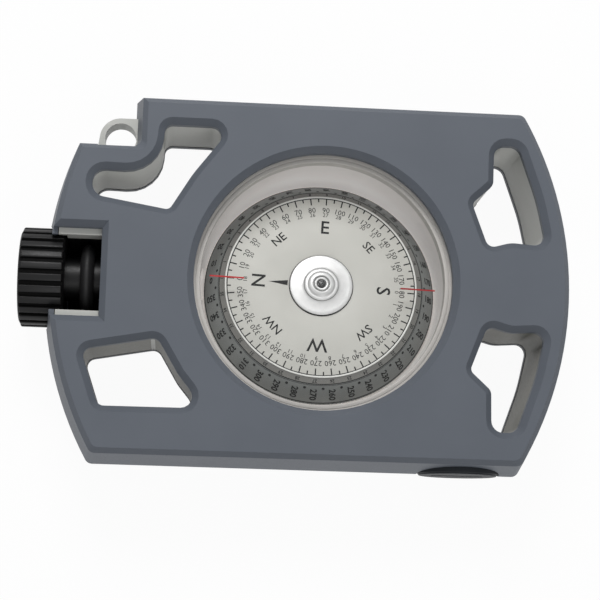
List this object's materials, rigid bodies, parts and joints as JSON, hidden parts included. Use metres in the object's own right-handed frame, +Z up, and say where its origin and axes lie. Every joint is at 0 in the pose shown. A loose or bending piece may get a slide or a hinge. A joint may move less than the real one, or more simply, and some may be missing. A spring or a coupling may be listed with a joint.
{
  "type": "sighting compass",
  "caption": "Flat hand-held sighting compass with a floating card, a round window, finger cut-outs and a focusing eyepiece.",
  "frame": {"origin": "on the window's axis at the flat base that the compass lies on", "axes": "+Z up through the window, +X along the body from the eyepiece to the far end, +Y towards the side with the corner notch"},
  "size_m": [0.1045, 0.0699, 0.021],
  "materials": {
    "cover_plastic": "fine satin moulded grey",
    "frame_plastic": "smooth light grey",
    "black_plastic": "black moulded",
    "eyepiece_black": "satin black",
    "cap_plastic": "dark grey moulded",
    "seal_rubber": "black rubber",
    "clear_lens": "clear polished acrylic",
    "optic_glass": "coated optical glass",
    "dial_face": "satin silver-white print ground",
    "skirt_plastic": "dark grey with printed scale",
    "hub_metal": "bright turned",
    "brass": "turned",
    "steel": "plain",
    "index_red": "printed red",
    "jewel": "polished synthetic ruby",
    "magnet": "plain",
    "board": "green lacquer",
    "lamp_clear": "clear moulded"
  },
  "bodies": {
    "root": {"top_cover": "cover_plastic", "bottom_cover": "cover_plastic", "core_frame": "frame_plastic", "cover_screws": "steel", "capsule_bowl": "frame_plastic", "capsule_lens": "clear_lens", "capsule_seal": "seal_rubber", "filler_plug": "brass", "index_lines": "index_red", "pivot_pin": "steel", "pivot_foot": "brass", "sight_window": "clear_lens", "sight_line": "black_plastic", "eyepiece_cradle": "black_plastic", "tube_seal": "seal_rubber", "guide_pin": "steel", "battery_sleeve": "black_plastic", "cell_spring": "brass", "coin_cell": "steel", "lamp_board": "board", "lamp": "lamp_clear"},
    "bearing": {"jewel_bearing": "jewel"},
    "card": {"card_disc": "dial_face", "card_skirt": "skirt_plastic", "hub_cap": "hub_metal", "bearing_collar": "brass", "card_magnets": "magnet"},
    "eyepiece": {"eyepiece_tube": "eyepiece_black", "stop_collar": "eyepiece_black", "field_lens": "optic_glass", "field_retainer": "eyepiece_black"},
    "focus_knob": {"focus_ring": "eyepiece_black", "lens_cell": "eyepiece_black", "eye_lens": "optic_glass", "lens_retainer": "eyepiece_black"},
    "cap_ring": {"cap_seal": "seal_rubber"},
    "cap": {"battery_cap": "cap_plastic"}
  },
  "joints": [
    {"name": "card_tilt", "type": "hinge", "parent": "root", "child": "bearing", "pos_m": [0, 0, 0.01257], "axis": [1, 0, 0], "range_deg": [0, 21]},
    {"name": "card_spin", "type": "hinge", "parent": "bearing", "child": "card", "pos_m": [0, 0, 0.01257], "axis": [0, 0.1822, 0.9833], "continuous": true},
    {"name": "focus_slide", "type": "slide", "parent": "root", "child": "eyepiece", "axis": [-1, 0, 0], "range_m": [0, 0.002]},
    {"name": "focus_turn", "type": "hinge", "parent": "eyepiece", "child": "focus_knob", "pos_m": [-0.053, 0, 0.0105], "axis": [-1, 0, 0], "range_deg": [0, 360]},
    {"name": "cap_slide", "type": "slide", "parent": "root", "child": "cap_ring", "axis": [0, -1, 0], "range_m": [0, 0.0015]},
    {"name": "cap_turn", "type": "hinge", "parent": "cap_ring", "child": "cap", "pos_m": [0.027, -0.033, 0.0105], "axis": [0, -1, 0], "range_deg": [0, 720]}
  ],
  "couplings": [
    {"joint": "focus_turn", "follows": "focus_slide", "rad_per_m": 3141.6},
    {"joint": "cap_turn", "follows": "cap_slide", "rad_per_m": 8377.6}
  ]
}
